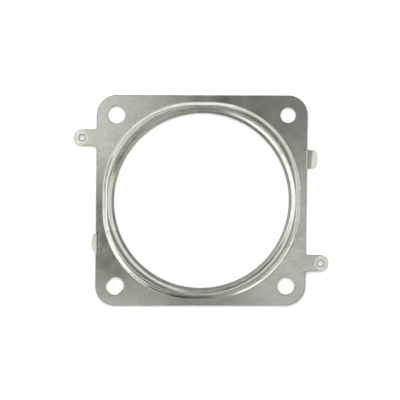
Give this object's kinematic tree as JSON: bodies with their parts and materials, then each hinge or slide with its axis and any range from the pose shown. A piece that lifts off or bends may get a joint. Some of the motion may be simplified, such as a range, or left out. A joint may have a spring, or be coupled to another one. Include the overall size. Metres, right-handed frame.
{
  "type": "intake manifold gasket",
  "caption": "Square stamped steel gasket with a large bore, a raised bead round it on both faces, bolt holes in the corners, side ears joined by eyelets and small bent tabs.",
  "frame": {"origin": "under the middle of the bore, in the plane that the lower bead rests on", "axes": "+Z out of the upper face along the bore, +X towards the ear on the right of the picture, +Y towards the picture's top edge"},
  "size_m": [0.1422, 0.117, 0.0029],
  "materials": {
    "sheet_steel": "cold-rolled stainless spring steel, satin mill finish with faint mottling",
    "eyelet_steel": "rolled stainless eyelet, satin"
  },
  "bodies": {
    "root": {"top_layer": "sheet_steel", "bottom_layer": "sheet_steel", "left_eyelet": "eyelet_steel", "right_eyelet": "eyelet_steel"}
  },
  "joints": []
}
